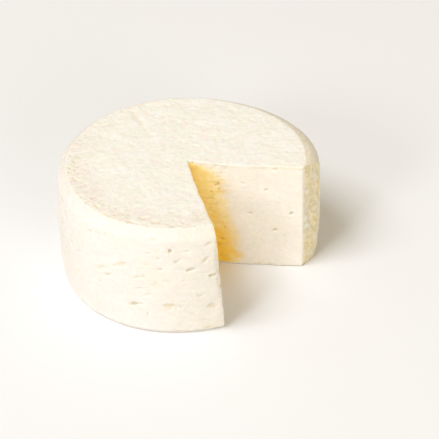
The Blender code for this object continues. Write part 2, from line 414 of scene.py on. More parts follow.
@dataclass
class Notch:
    """The wedge-shaped gap between the two knife cuts, and the corner that broke off past the right one."""

    tip: Vector = field(default_factory=lambda: Vector((0.8 * MM, -2.2 * MM)))
    left: KnifeCut = KnifeCut(
        math.radians(10.9), math.radians(14.5), -1.1 * MM, 86.0 * MM, math.radians(-2.0), -1, 0.7 * MM
    )
    right: KnifeCut = KnifeCut(
        math.radians(79.7), math.radians(79.7), -2.2 * MM, 79.0 * MM, math.radians(8.3), 1, 0.6 * MM
    )
    reach: float = 125.0 * MM
    mouth_reach: float = 1.4
    points: int = 28
    margin: float = 10.0 * MM
    softening: float = 0.7 * MM
    soft_steps: int = 4
    rows: int = 10
    corner_start: Pair = (0.5 * MM, 3.0 * MM)

    def away_from_tip(self, points: np.ndarray) -> np.ndarray:
        """Give how far places, one to a row, are from the notch's tip, seen from above."""
        return np.hypot(points[:, 0] - self.tip.x, points[:, 1] - self.tip.y)

    def broken_corner(self, points: np.ndarray) -> np.ndarray:
        """Give which points lie past the end of the right cut, on the corner that broke off.

        Args:
            points: Places, one to a row.

        Returns:
            From 0 on the cut to 1 on the corner.
        """
        along = direction(self.right.top_angle)
        reach = (points[:, 0] - self.tip.x) * along.x + (points[:, 1] - self.tip.y) * along.y
        before, after = self.corner_start
        return rise((self.right.length - before, self.right.length + after), reach)

    def outline(self, wheel: WheelForm, height: float, widening: float) -> list[Vector]:
        """Give the notch's outline seen from above.

        Args:
            wheel: The wheel's form.
            height: The height of the section.
            widening: How far the faces are moved into the cheese there.

        Returns:
            The outline's points in order.
        """
        half = (self.right.top_angle - self.left.top_angle) / 2
        middle = direction(self.left.top_angle + half)
        tip = self.tip - middle * (widening / math.sin(half))
        sides = []
        for cut in (self.left, self.right):
            shares = [step / self.points for step in range(1, self.points + 1)]
            path = [cut.point(self.tip, wheel, height, share, widening) for share in shares]
            turned = cut.angle_at(height, wheel) + cut.corner_turn
            corner = direction(turned) * wheel.radius - path[-1]
            path.append(path[-1] + corner * (self.reach - cut.length) / corner.length)
            sides.append(path)
        return [tip] + sides[0] + [middle * self.reach * self.mouth_reach] + sides[1][::-1]

    def sections(self, wheel: WheelForm) -> list[Pair]:
        """Give the heights of the notch's sections and how much each is widened.

        Args:
            wheel: The wheel's form.

        Returns:
            Pairs of height and widening, from below the base to above the top.
        """
        foot = [(-self.margin, self.softening)]
        for step in range(self.soft_steps + 1):
            turn = math.pi / 2 * step / self.soft_steps
            foot.append((self.softening * (1 - math.cos(turn)), self.softening * (1 - math.sin(turn))))
        head = [(wheel.height - height, widening) for height, widening in foot[::-1]]
        low, high = foot[-1][0], head[0][0]
        middle = [(low + (high - low) * row / self.rows, 0.0) for row in range(1, self.rows)]
        return foot + middle + head

    def cutter(self, wheel: WheelForm) -> Piece:
        """Model the cutter: the outline as a flat face, extruded from section to section.

        Args:
            wheel: The wheel's form.

        Returns:
            The cutter's object.
        """
        sections = self.sections(wheel)
        count = len(self.outline(wheel, *sections[0]))
        bpy.ops.mesh.primitive_circle_add(vertices=count, radius=self.reach, fill_type="NGON")
        cutter = bpy.context.object
        cutter.name = "notch_cutter"
        bpy.ops.object.mode_set(mode="EDIT")
        self._lay_ring(cutter, self.outline(wheel, *sections[0]), sections[0][0])
        for height, widening in sections[1:]:
            bpy.ops.mesh.extrude_region_move(TRANSFORM_OT_translate={"value": (0, 0, self.margin)})
            self._lay_ring(cutter, self.outline(wheel, height, widening), height)
        bpy.ops.mesh.select_all(action="SELECT")
        bpy.ops.mesh.normals_make_consistent(inside=False)
        bpy.ops.object.mode_set(mode="OBJECT")
        return cutter

    @staticmethod
    def _lay_ring(cutter: Piece, outline: list[Vector], height: float) -> None:
        """Lay the selected ring of points on an outline.

        Args:
            cutter: The cutter in edit mode.
            outline: The outline seen from above.
            height: The ring's height.
        """
        model = bmesh.from_edit_mesh(cutter.data)
        model.verts.ensure_lookup_table()
        ring = [vertex for vertex in model.verts if vertex.select]
        for vertex, place in zip(ring, outline):
            vertex.co = (place.x, place.y, height)
        bmesh.update_edit_mesh(cutter.data)


@dataclass(frozen=True)
class Hollow:
    """One hollow in the curd's surface. Its length runs level before it is tilted."""

    kind: HollowKind
    place: Vector
    facing: float
    length: float
    width: float
    depth: float
    tilt: float
    rim: Lumps = round_lumps(3.1, 7.7, round_lumps(1.3, 9.1), 0.6)
    rim_unevenness: float = 0.6

    def shape(self) -> Matrix:
        """Give the transform from a unit ball to the hollow's stretched and turned ball.

        Returns:
            The transform.
        """
        turn = Euler((0.0, 0.0, self.facing)).to_matrix() @ Euler((0.0, -self.tilt, 0.0)).to_matrix()
        scale = Matrix.Diagonal((self.length / 2, self.depth, self.width / 2))
        return Matrix.Translation(self.place) @ (turn @ scale).to_4x4()

    def reach(self, points: np.ndarray) -> tuple[np.ndarray, np.ndarray, np.ndarray]:
        """Measure how far points are from the hollow's middle, where its uneven rim is at 1.

        Args:
            points: Places, one to a row.

        Returns:
            A mask of the points near the hollow, and for each of those its distance across
            the surface and its depth, where the hollow's floor is at 1.
        """
        near = np.linalg.norm(points - np.array(self.place), axis=1) < self.length + self.depth
        inverse = np.array(self.shape().inverted())
        local = points[near] @ inverse[:3, :3].T + inverse[:3, 3]
        uneven = 1 + self.rim_unevenness * self.rim.at(points[near])
        return near, np.hypot(local[:, 0], local[:, 2]) * uneven, local[:, 1]


@dataclass(frozen=True)
class RindMark:
    """A hollow of the rind by its angle round the wheel in degrees and its sizes in millimetres."""

    angle: float
    height: float
    length: float
    width: float
    depth: float
    tilt: float
    slit_depth: float = 1.3

    def away_from(self, other: "RindMark", wheel: WheelForm) -> float:
        """Give the distance to another mark round the side, in millimetres."""
        around = math.radians(self.angle - other.angle) * wheel.radius / MM
        return math.hypot(around, self.height - other.height)

    def hollow(self, wheel: WheelForm) -> Hollow:
        """Place the mark on the wheel.

        Args:
            wheel: The wheel's form.

        Returns:
            The hollow.
        """
        kind = HollowKind.SLIT if self.depth > self.slit_depth else HollowKind.CRAG
        angle = math.radians(self.angle)
        place = wheel.skin_point(angle, self.height * MM)
        sizes = (self.length * MM, self.width * MM, self.depth * MM)
        return Hollow(kind, place, angle, *sizes, math.radians(self.tilt))


@dataclass(frozen=True)
class CutMark:
    """A hole of a cut face by its distance out from the notch's tip and its sizes in millimetres."""

    reach: float
    height: float
    length: float
    width: float
    tilt: float
    depth_share: float = 0.55

    def away_from(self, other: "CutMark") -> float:
        """Give the distance to another mark of the same cut, in millimetres."""
        return math.hypot(self.reach - other.reach, self.height - other.height)

    def hollow(self, cut: KnifeCut, tip: Vector, wheel: WheelForm) -> Hollow:
        """Place the mark on a cut.

        Args:
            cut: The cut.
            tip: The notch's tip.
            wheel: The wheel's form.

        Returns:
            The hollow.
        """
        height = self.height * MM
        flat = cut.point(tip, wheel, height, self.reach * MM / cut.length)
        place = Vector((flat.x, flat.y, height))
        facing = cut.angle_at(height, wheel) - cut.side * math.pi / 2
        sizes = (self.length * MM, self.width * MM, self.width * self.depth_share * MM)
        return Hollow(HollowKind.EYE, place, facing, *sizes, math.radians(self.tilt))


@dataclass(frozen=True)
class CutDraw:
    """How the holes of a cut face are drawn: how many, their lengths, their narrowness and their spacing."""

    count: int
    lengths: Range
    narrowness: Range
    spacing: float


@dataclass
class HollowField:
    """All the hollows: those at the front have chosen places, and the rest are drawn."""

    seed: int = 41
    drawn_range: Range = (94.0, 301.0)
    drawn_heights: Range = (4.0, 72.0)
    drawn_count: int = 100
    deep_share: float = 0.16
    deep_sizes: tuple[Range, ...] = ((2.8, 6.2), (2.2, 3.0), (1.4, 2.0))
    shallow_length: Triple = (2.4, 11.0, 5.0)
    shallow_narrowness: Range = (0.35, 0.70)
    shallow_widest: float = 4.0
    shallow_depth: Range = (0.4, 1.2)
    drawn_tilt: Range = (14.0, 22.0)
    spacing: float = 4.5
    spacing_divisor: float = 3.0
    swell: float = 1.12
    unevenness: float = 0.55
    ball_detail: int = 3
    ball_lumps: float = 1.4
    ball_offset: float = 3.1
    cut_seed: int = 47
    cut_holes: CutDraw = CutDraw(9, (2.6, 4.6), (0.4, 0.8), 9.0)
    pores: CutDraw = CutDraw(24, (0.9, 2.2), (0.5, 0.9), 4.0)
    cut_reach: Range = (0.12, 0.94)
    cut_heights: Range = (6.0, 62.0)
    cut_tilt: float = 28.0
    front_marks: tuple[RindMark, ...] = (
        RindMark(-45, 70, 2.9, 2.4, 1.4, 0),
        RindMark(-53, 48, 9.0, 3.4, 0.6, 30),
        RindMark(-39, 46, 11.0, 4.6, 0.8, 34),
        RindMark(-29, 54, 12.5, 5.0, 0.9, 22),
        RindMark(-36, 42, 7.5, 2.6, 1.1, 24),
        RindMark(-15, 77, 10.0, 3.2, 0.6, 18),
        RindMark(-8.3, 69, 5.8, 1.6, 1.4, 84),
        RindMark(-17, 67, 6.0, 2.2, 0.6, 10),
        RindMark(-13, 63, 3.0, 2.4, 0.7, 10),
        RindMark(-5.5, 61, 3.6, 2.8, 1.1, 14),
        RindMark(-12, 55, 3.0, 2.6, 0.9, 10),
        RindMark(-21, 47, 11.0, 2.6, 0.6, 18),
        RindMark(0.2, 54.6, 5.6, 2.5, 2.0, 24),
        RindMark(9.4, 48, 6.2, 2.6, 2.0, 18),
        RindMark(8.0, 73, 6.2, 2.4, 0.8, 24),
        RindMark(6.5, 61, 7.0, 2.6, 1.1, 42),
        RindMark(-1.4, 69, 7.5, 2.8, 0.6, 3),
        RindMark(-24, 23.5, 5.8, 3.3, 1.8, 24),
        RindMark(-20.5, 25, 3.4, 2.8, 0.8, -20),
        RindMark(-21, 38, 9.0, 2.8, 0.6, 12),
        RindMark(-18, 33.5, 7.5, 2.4, 0.6, 12),
        RindMark(-8, 25, 10.0, 6.6, 1.1, 6),
        RindMark(-18, 17, 5.6, 2.4, 0.8, 84),
        RindMark(9.0, 23, 7.2, 5.6, 1.0, 8),
        RindMark(4.4, 33, 7.5, 2.8, 0.6, 15),
        RindMark(7.5, 3.5, 9.0, 3.4, 1.1, 2),
        RindMark(-2.7, 46, 4.4, 2.0, 0.6, 0),
        RindMark(-9.6, 45.5, 5.0, 2.2, 0.5, -10),
    )
    right_cut_marks: tuple[CutMark, ...] = (
        CutMark(20.1, 65.8, 3.8, 3.0, 40),
        CutMark(22.5, 20.7, 5.0, 1.8, -8),
        CutMark(19.7, 16.1, 4.4, 1.8, -6),
        CutMark(54, 63.6, 3.0, 2.0, 20),
    )
    right_pores: tuple[CutMark, ...] = (
        CutMark(60, 80.5, 3.4, 1.6, 4),
        CutMark(38.5, 68.3, 2.4, 1.6, -12),
        CutMark(8.4, 77.8, 2.2, 1.4, -30),
        CutMark(15.9, 59.6, 2.2, 1.6, 0),
        CutMark(19.3, 51.6, 2.4, 1.6, -10),
        CutMark(23.4, 44.5, 1.8, 1.4, 0),
        CutMark(24.8, 39.6, 1.8, 1.4, 0),
        CutMark(24.7, 30.3, 2.2, 1.7, 60),
        CutMark(12.2, 50.0, 1.8, 1.1, 20),
        CutMark(14.0, 34.0, 2.4, 1.2, 10),
    )

    def drawn(self, wheel: WheelForm, notch: Notch) -> list[Hollow]:
        """Draw the hollows' places and sizes.

        Args:
            wheel: The wheel's form.
            notch: The notch.

        Returns:
            The hollows.
        """
        draw = random.Random(self.seed)
        marks: list[RindMark] = []
        while len(marks) < self.drawn_count:
            mark = self._draw_rind_mark(draw)
            room = self.spacing + mark.length / self.spacing_divisor
            if all(mark.away_from(other, wheel) > room for other in marks):
                marks.append(mark)
        hollows = [mark.hollow(wheel) for mark in (*self.front_marks, *marks)]
        draw, pore_draw = random.Random(self.cut_seed), random.Random(self.cut_seed + 1)
        length, rule = notch.right.length, self.cut_holes
        right = (notch.right, self.right_cut_marks, self.right_pores)
        for cut, chosen, pores in ((notch.left, (), ()), right):
            holes = self._draw_cut_marks(draw, rule, chosen, rule.count, length)
            count = len(holes) + self.pores.count
            holes = self._draw_cut_marks(pore_draw, self.pores, (*holes, *pores), count, length)
            hollows += [mark.hollow(cut, notch.tip, wheel) for mark in holes]
        return hollows

    def _draw_rind_mark(self, draw: random.Random) -> RindMark:
        """Draw one hollow of the rind: a few are deep, and the rest are broad and shallow.

        Args:
            draw: The source of the draws.

        Returns:
            The mark.
        """
        if draw.random() < self.deep_share:
            length, width, depth = (draw.uniform(*sizes) for sizes in self.deep_sizes)
        else:
            length = draw.triangular(*self.shallow_length)
            width = min(self.shallow_widest, length * draw.uniform(*self.shallow_narrowness))
            depth = draw.uniform(*self.shallow_depth)
        angle, height = draw.uniform(*self.drawn_range), draw.uniform(*self.drawn_heights)
        return RindMark(angle, height, length, width, depth, draw.gauss(*self.drawn_tilt))

    def _draw_cut_marks(
        self, draw: random.Random, rule: CutDraw, chosen: tuple[CutMark, ...], count: int, cut_length: float
    ) -> list[CutMark]:
        """Draw the holes of a cut face, clear of those that are there.

        Args:
            draw: The source of the draws.
            rule: The sizes and the spacing of the holes.
            chosen: The holes so far.
            count: How many holes there are in the end.
            cut_length: The cut's length.

        Returns:
            All the holes.
        """
        holes = list(chosen)
        while len(holes) < count:
            length = draw.uniform(*rule.lengths)
            width = length * draw.uniform(*rule.narrowness)
            reach, height = draw.uniform(*self.cut_reach) * cut_length / MM, draw.uniform(*self.cut_heights)
            hole = CutMark(reach, height, length, width, draw.gauss(0.0, self.cut_tilt))
            if all(hole.away_from(other) > rule.spacing for other in holes):
                holes.append(hole)
        return holes

    def cutter(self, hollows: list[Hollow]) -> Piece:
        """Model one ball, and copy it, made uneven, to every deep hole.

        Args:
            hollows: The hollows that are cut.

        Returns:
            The joined cutter.
        """
        bpy.ops.mesh.primitive_ico_sphere_add(subdivisions=self.ball_detail, radius=1.0)
        ball = bpy.context.object
        copies = []
        for number, hollow in enumerate(hollows):
            copy = ball.copy()
            copy.data = ball.data.copy()
            bpy.context.scene.collection.objects.link(copy)
            shape = hollow.shape()
            for vertex in copy.data.vertices:
                place = vertex.co * self.ball_lumps + Vector((number * self.ball_offset, 0.0, 0.0))
                vertex.co = shape @ (vertex.co * (self.swell + self.unevenness * noise.noise(place)))
            copies.append(copy)
        bpy.ops.object.select_all(action="DESELECT")
        for copy in copies:
            copy.select_set(True)
        bpy.context.view_layer.objects.active = copies[0]
        bpy.ops.object.join()
        bpy.data.objects.remove(ball, do_unlink=True)
        return bpy.context.object


@dataclass
class ClothMarks:
    """The cloth's marks in the flat top: grain, dimples, threads, a fold, and a groove inside the rim."""

    wheel: WheelForm
    points: np.ndarray
    grain: Lumps = Lumps((3.2, 3.6, 9.0), 11.3, Lumps((7.0, 3.2, 9.0), 23.9), 0.5)
    grain_height: float = 0.22 * MM
    dimples: Patches = Patches(Lumps((2.6, 2.6, 9.0), 37.3), (0.15, 0.55))
    dimple_depth: float = 0.38 * MM
    dimple_shares: Pair = (0.35, 0.9)
    thread_pull: Lumps = round_lumps(14.0, 113.7)
    thread_swing: float = 1.2
    thread_patches: Patches = Patches(round_lumps(16.0, 127.1), (-0.35, 0.25))
    thread_height: float = 0.15 * MM
    thread_shares: Pair = (0.6, 0.8)
    thread_pitch: float = 3.0 * MM
    thread_angle: float = 14.0
    fold_ends: tuple[Pair, Pair] = ((-38 * MM, 64 * MM), (-22 * MM, 23 * MM))
    fold_depth: float = 0.40 * MM
    fold_width: float = 2.2 * MM
    fold_fading: float = 0.7
    groove_depth: float = 0.22 * MM
    groove_place: float = 1.2 * MM
    groove_width: float = 0.9 * MM
    front_angle: float = math.radians(-40.0)
    rim_reach: Range = (2 * MM, 20 * MM)
    # The darker band inside the front-left rim, partly painted shade.
    band_starts: Range = (0.0, 2 * MM)
    band_ends: Range = (7 * MM, 24 * MM)
    band_front: Range = (0.35, 0.95)
    band_patches: Patches = Patches(round_lumps(3.2, 163.3), (-0.3, 0.3))

    def height(self) -> np.ndarray:
        """Give the height of the marks, which are deeper by the front rim.

        Returns:
            The heights in metres.
        """
        inside, front = self._inside_rim()
        by_rim = front * fall(self.rim_reach, inside)
        dimple, thread = (share + more * by_rim for share, more in (self.dimple_shares, self.thread_shares))
        groove = np.exp(-(((inside - self.groove_place) / self.groove_width) ** 2)) * front
        height = self.grain_height * self.grain.at(self.points)
        height -= self.dimple_depth * self.dimples.at(self.points) * dimple
        height += self._threads() * thread
        return height - self.groove_depth * groove - self.fold_depth * self._beside_fold()

    def rim_shade_band(self) -> np.ndarray:
        """Give which points lie in the darker, uneven band inside the front-left rim: partly the cloth's
        pressed marks, partly painted shade for the top being darker there.

        Returns:
            From 0 outside the band to 1 in it.
        """
        inside, front = self._inside_rim()
        rim_shade_band = rise(self.band_starts, inside) * fall(self.band_ends, inside) * rise(self.band_front, front)
        return rim_shade_band * (0.5 + 0.5 * self.band_patches.at(self.points))

    def _inside_rim(self) -> tuple[np.ndarray, np.ndarray]:
        """Give how far points lie inside the flat top's rim, and how near they are to its front left.

        Returns:
            The distances in metres, and the nearness from 0 to 1.
        """
        angle = angles_round(self.points)
        plateau = self.wheel.side_radius(angle, np.full(len(self.points), self.wheel.height))
        inside = plateau - np.hypot(self.points[:, 0], self.points[:, 1])
        return inside, 0.5 + 0.5 * np.cos(angle - self.front_angle)

    def _threads(self) -> np.ndarray:
        """Give the height of the cloth's threads, which show in patches.

        Returns:
            The heights in metres.
        """
        pull = self.thread_swing * self.thread_pull.at(self.points)
        turn = math.radians(self.thread_angle)
        across = self.points[:, 0] * math.cos(turn) + self.points[:, 1] * math.sin(turn)
        along = self.points[:, 1] * math.cos(turn) - self.points[:, 0] * math.sin(turn)
        pitch = 2 * math.pi / self.thread_pitch
        threads = np.sin(across * pitch + pull) * np.sin(along * pitch + pull)
        return self.thread_height * threads * self.thread_patches.at(self.points)

    def _beside_fold(self) -> np.ndarray:
        """Give how near points are to the mark of the cloth's fold, which fades along its length.

        Returns:
            1 on the mark, and 0 well away from it.
        """
        start, end = (np.array(point) for point in self.fold_ends)
        along = np.clip((self.points[:, :2] - start) @ (end - start) / ((end - start) @ (end - start)), 0, 1)
        away = np.linalg.norm(self.points[:, :2] - start - along[:, None] * (end - start), axis=1)
        return np.exp(-((away / self.fold_width) ** 2)) * (1 - self.fold_fading * along)


@dataclass(frozen=True)
class Strokes:
    """The rind's lumps, strokes and creases, which lie along the first axis of the places."""

    creases: Creases
    lumps: Lumps = Lumps((9.0, 5.0, 9.0), 31.1)
    lump_height: float = 0.24 * MM
    strokes: Lumps = Lumps((8.0, 1.4, 9.0), 47.7, Lumps((1.9, 1.5, 9.0), 59.9), 0.6)
    stroke_height: float = 0.12 * MM
    crease_depth: float = 0.26 * MM

    def height_at(self, places: np.ndarray) -> np.ndarray:
        """Give the height in metres at places on the unrolled rind, one to a row."""
        raised = self.lump_height * self.lumps.at(places) + self.stroke_height * self.strokes.at(places)
        return raised - self.crease_depth * self.creases.at(places)


@dataclass
class RindMarks:
    """The rind's relief: level strokes by the front, and slanted and rougher ones round the back."""

    seams: Lumps = Lumps((17.0, 6.5, 9.0), 67.3)
    shown: Patches = Patches(Lumps((13.0, 9.0, 9.0), 73.7), (0.0, 0.3))
    front_crease: float = 0.07
    back_crease: float = 0.12
    slant: float = math.radians(52.0)
    back_reach: Range = (95 * MM, 135 * MM)
    back_roughness: float = 1.4

    def height_at(self, wrapped: np.ndarray) -> np.ndarray:
        """Give the height of the rind's relief.

        Args:
            wrapped: The places unrolled round the side.

        Returns:
            The heights in metres.
        """
        level = Strokes(Creases(self.seams, self.front_crease, self.shown))
        rough = Strokes(Creases(self.seams, self.back_crease, self.shown))
        height = level.height_at(wrapped)
        back = rise(self.back_reach, -wrapped[:, 0])
        behind = back > 0
        around, up, depth = wrapped[behind].T
        along = around * math.cos(self.slant) + up * math.sin(self.slant)
        across = up * math.cos(self.slant) - around * math.sin(self.slant)
        slanted = self.back_roughness * rough.height_at(np.stack([along, across, depth], axis=1))
        height[behind] += back[behind] * (slanted - height[behind])
        return height


@dataclass
class CutMarks:
    """The relief of the cut faces: knife drag, crumb, torn curd by the tip, and the broken corner."""

    notch: Notch
    points: np.ndarray
    drag: Lumps = Lumps((18.0, 18.0, 1.6), 53.3, round_lumps(2.3, 61.9), 1.0)
    drag_height: float = 0.08 * MM
    creases: Creases = Creases(
        Lumps((9.0, 9.0, 6.0), 79.1), 0.06, Patches(round_lumps(11.0, 89.3), (0.0, 0.3))
    )
    crease_depth: float = 0.156 * MM
    corner: Lumps = round_lumps(4.0, 71.1, round_lumps(1.9, 83.3), 0.6)
    corner_height: float = 1.00 * MM
    corner_lows: Lumps = round_lumps(4.0, 71.1)
    corner_sinks: Range = (-0.6, 0.5)
    curd: Lumps = Lumps((5.0, 5.0, 3.0), 131.3, round_lumps(2.0, 137.9), 0.5)
    curd_height: float = 0.32 * MM
    curd_reach: Range = (20 * MM, 34 * MM)
    cracks: Creases = Creases(
        Lumps((9.0, 9.0, 3.2), 149.1), 0.10, Patches(round_lumps(7.0, 151.7), (-0.05, 0.25))
    )
    crack_depth: float = 0.45 * MM

    def height(self) -> np.ndarray:
        """Give the height of the relief in the cut faces and on the broken corner.

        Returns:
            The heights in metres.
        """
        height = self.drag_height * self.drag.at(self.points)
        height -= self.crease_depth * self.creases.at(self.points)
        torn = self.corner_height * self.notch.broken_corner(self.points) * self.corner.at(self.points)
        near_tip = fall(self.curd_reach, self.notch.away_from_tip(self.points))
        curd = self.curd_height * self.curd.at(self.points) - self.crack_depth * self.cracks.at(self.points)
        return height + torn + near_tip * curd

    def sunk_shade(self) -> np.ndarray:
        """Give how far points lie in the low places of the broken corner, from 0 to 1, where painted shade
        goes.
        """
        lows = rise(self.corner_sinks, -self.corner_lows.at(self.points))
        return lows * self.notch.broken_corner(self.points)


@dataclass
class CurdRelief:
    """The low relief of the whole surface: each kind of mark goes where its mask lets it."""

    wheel: WheelForm
    notch: Notch
    skin: Range = (0.5 * MM, 1.6 * MM)
    top_facing: Range = (0.80, 0.97)
    side_facing: Range = (0.55, 0.95)
    cut_facing: Range = (0.3, 0.7)
    resting_facing: Range = (0.4, 0.9)
    unrolled_from: float = math.radians(45.0)
    depth_share: float = 0.3
    least: float = 0.01
    edge_starts: Range = (0.1 * MM, 0.6 * MM)
    edge_ends: Range = (1.8 * MM, 3.0 * MM)
    chips: Patches = Patches(round_lumps(4.2, 97.7), (0.15, 0.6))
    chip_depth: float = 0.55 * MM
    dents: Lumps = round_lumps(19.0, 3.7)
    dent_height: float = 0.28 * MM
    crag_slope: Range = (0.25, 1.15)
    highest: float = 0.8 * MM
    # How deep a low place must be for its painted shade.
    shaded_marks: Range = (0.08 * MM, 0.55 * MM)
    shaded_crags: Range = (0.1 * MM, 1.0 * MM)

    def carve(self, piece: Piece, hollows: list[Hollow]) -> None:
        """Move the vertices along their normals by the relief, and note where painted shade goes: in the low
        places, and in the band inside the front-left rim.

        Args:
            piece: The cheese's object.
            hollows: All the hollows.
        """
        points, normals = vertex_values(piece), vertex_values(piece, VertexData.NORMAL)
        depth, up = self.wheel.depth(points), normals[:, 2]
        skin = fall(self.skin, depth)
        top = skin * rise(self.top_facing, up)
        side = skin * fall(self.side_facing, np.abs(up))
        cut = (1 - skin) * fall(self.cut_facing, np.abs(up))
        edge = rise(self.edge_starts, depth) * fall(self.edge_ends, depth)
        height = np.zeros(len(points))
        for mask, places, marks in (
            (top, points, lambda near: ClothMarks(self.wheel, near).height()),
            (side, self._unrolled(points, depth), RindMarks().height_at),
            (cut, points, lambda near: CutMarks(self.notch, near).height()),
            (edge, points, lambda near: -self.chip_depth * self.chips.at(near)),
        ):
            near = mask > self.least
            height[near] += mask[near] * marks(places[near])
        low = self._crags(points, hollows)
        moved = height + self.dent_height * self.dents.at(points) - low
        free = fall(self.resting_facing, -up)
        points += normals * (moved * free)[:, None]
        points[:, 2] = np.clip(points[:, 2], 0.0, self.wheel.height + self.highest)
        move_vertices(piece, points)
        # Painted shade: the low places of the marks, the crags and the broken corner are darkened where
        # shade falls.
        sunk_shade = np.maximum(rise(self.shaded_marks, -height), rise(self.shaded_crags, low))
        write_mark(piece, "sunk_shade", np.maximum(sunk_shade, cut * CutMarks(self.notch, points).sunk_shade()) * free)
        # The front-left rim band, partly painted shade.
        write_mark(piece, "rim", top * ClothMarks(self.wheel, points).rim_shade_band())

    def _unrolled(self, points: np.ndarray, depth: np.ndarray) -> np.ndarray:
        """Unroll the side, with the seam in the open notch.

        Args:
            points: Places, one to a row.
            depth: Their depths under the uncut skin.

        Returns:
            The places along the side, over the base and under the skin.
        """
        angle = angles_round(points)
        angle = np.where(angle > self.unrolled_from, angle - 2 * math.pi, angle)
        return np.stack([angle * self.wheel.radius, points[:, 2], self.depth_share * depth], axis=1)

    def _crags(self, points: np.ndarray, hollows: list[Hollow]) -> np.ndarray:
        """Give how deep the broad hollows go at each point.

        Args:
            points: Places, one to a row.
            hollows: All the hollows.

        Returns:
            The depths in metres.
        """
        low = np.zeros(len(points))
        for hollow in hollows:
            if hollow.kind is HollowKind.CRAG:
                near, reach, _ = hollow.reach(points)
                low[near] = np.maximum(low[near], hollow.depth * fall(self.crag_slope, reach))
        return low


@dataclass
class ColourMarks:
    """Where the colour changes: the marks of skin, paste, age, and the painted light and shade that the
    finish reads: glow in the notch, shade in the holes and on the broken corner, and warm shade behind the
    right cut.
    """

    piece: Piece
    wheel: WheelForm
    notch: Notch
    skin: Range = (0.9 * MM, 2.4 * MM)
    top_facing: Range = (0.84, 0.975)
    corner_skin: Range = (0.3 * MM, 1.2 * MM)
    # The broken corner's tint: partly the torn curd's own yellow, partly painted shade where the corner
    # faces away from the light.
    corner_patches: Patches = Patches(round_lumps(7.0, 181.7), (-0.45, 0.35))
    corner_warm_shade: float = 0.34
    corner_shade: float = 0.40
    # Painted shade lining the deep holes, from their rims to their floors.
    hole_shade_rim: Range = (1.1, 1.8)
    hole_shade_floor: Range = (0.05, 0.9)
    # Painted glow and shade of light bounced deep in the notch: its reach from the tip, its spread low down
    # and its strength.
    glow_reach: Range = (10.0 * MM, 30.0 * MM)
    glow_spread: float = 14.0 * MM
    glow_lumps: Lumps = Lumps((8.0, 8.0, 6.0), 101.9, round_lumps(3.0, 107.3), 0.5)
    glow_unevenness: float = 6.0 * MM
    glow_strength: float = 0.95
    glow_slope: float = 0.7
    glow_least_reach: float = 2 * MM
    glow_skin: Range = (0.5 * MM, 2.5 * MM)
    deep_glow_starts: Range = (0.42, 0.80)
    deep_glow_unevenness: float = 0.3
    aged_reach: Range = (4.0 * MM, 62.0 * MM)
    aged_strength: float = 0.75
    aged_lumps: Lumps = round_lumps(11.0, 173.9)
    aged_shares: Pair = (0.75, 0.5)
    # Painted warm shade on the rind's shaded side behind the right cut.
    warm_shade_starts: Range = (-12 * MM, 0.0)
    warm_shade_reach: Range = (20.0 * MM, 190.0 * MM)
    warm_shade_facing: Range = (0.90, 0.99)

    def __post_init__(self) -> None:
        """Read the piece's points, and how deep they lie under the uncut skin."""
        self.points = vertex_values(self.piece)
        self.depth = self.wheel.depth(self.points)

    def write(self, deep: list[Hollow]) -> None:
        """Write the attributes that the finish reads.

        Args:
            deep: The deep holes.
        """
        up = vertex_values(self.piece, VertexData.NORMAL)[:, 2]
        skin = fall(self.skin, self.depth)
        corner = self.notch.broken_corner(self.points) * rise(self.corner_skin, self.depth)
        notch_glow, deepest_glow = self._notch_glow()
        # Painted warm shade on the broken corner, partly the torn curd's own yellow.
        corner_warm_shade = self.corner_warm_shade * corner * self.corner_patches.at(self.points)
        # The marks: paste, top, painted glow in the notch (a little on the broken corner too), painted shade
        # in the holes and on the broken corner, yellowing beside the cuts, and painted warm shade behind the
        # right cut.
        marks = {
            "paste": 1 - skin,
            "top": skin * rise(self.top_facing, up),
            "notch_glow": np.maximum(notch_glow, corner_warm_shade),
            "deep_notch_glow": deepest_glow,
            "hole": np.maximum(self._hole_shade(deep), self.corner_shade * corner),
            "aged": self._aged(),
            "warm_shade": self._warm_shade() * fall(self.warm_shade_facing, up) * skin,
        }
        for name, values in marks.items():
            write_mark(self.piece, name, values)

    def _aged(self) -> np.ndarray:
        """Give how much the rind has yellowed, which is most beside the knife's cuts.

        Returns:
            The shares, from 0 to 1.
        """
        angle = angles_round(self.points)
        away = np.maximum(self.notch.left.base_angle - angle, angle - self.notch.right.top_angle)
        least, more = self.aged_shares
        patchy = least + more * self.aged_lumps.at(self.points)
        return self.aged_strength * patchy * fall(self.aged_reach, away * self.wheel.radius)

    def _warm_shade(self) -> np.ndarray:
        """Give the painted warm shade of the rind's shaded side, which is only behind the right cut.

        Returns:
            The shares, from 0 to 1.
        """
        angle = angles_round(self.points)
        angle = np.where(angle < self.notch.left.base_angle, angle + 2 * math.pi, angle)
        away = (angle - self.notch.right.top_angle) * self.wheel.radius
        return rise(self.warm_shade_starts, away) * fall(self.warm_shade_reach, away)

    def _notch_glow(self) -> tuple[np.ndarray, np.ndarray]:
        """Give the painted amber glow and shade of light bounced in the narrow notch, most low in the notch
        and by its tip.

        Returns:
            The shares of the painted glow and of the deeper painted glow, from 0 to 1.
        """
        reach = self.notch.away_from_tip(self.points)
        uneven = self.glow_lumps.at(self.points)
        drop = 1 - self.points[:, 2] / self.wheel.height
        near = fall(self.glow_reach, reach - self.glow_spread * drop + self.glow_unevenness * uneven)
        slope = np.maximum(reach * self.glow_slope, self.glow_least_reach)
        below = rise((0.0, 1.0), (self.wheel.height - self.points[:, 2]) / slope)
        inside = rise(self.glow_skin, self.depth)
        deepest_glow = near * inside * rise(self.deep_glow_starts, drop + self.deep_glow_unevenness * uneven)
        return self.glow_strength * near * below * inside, deepest_glow

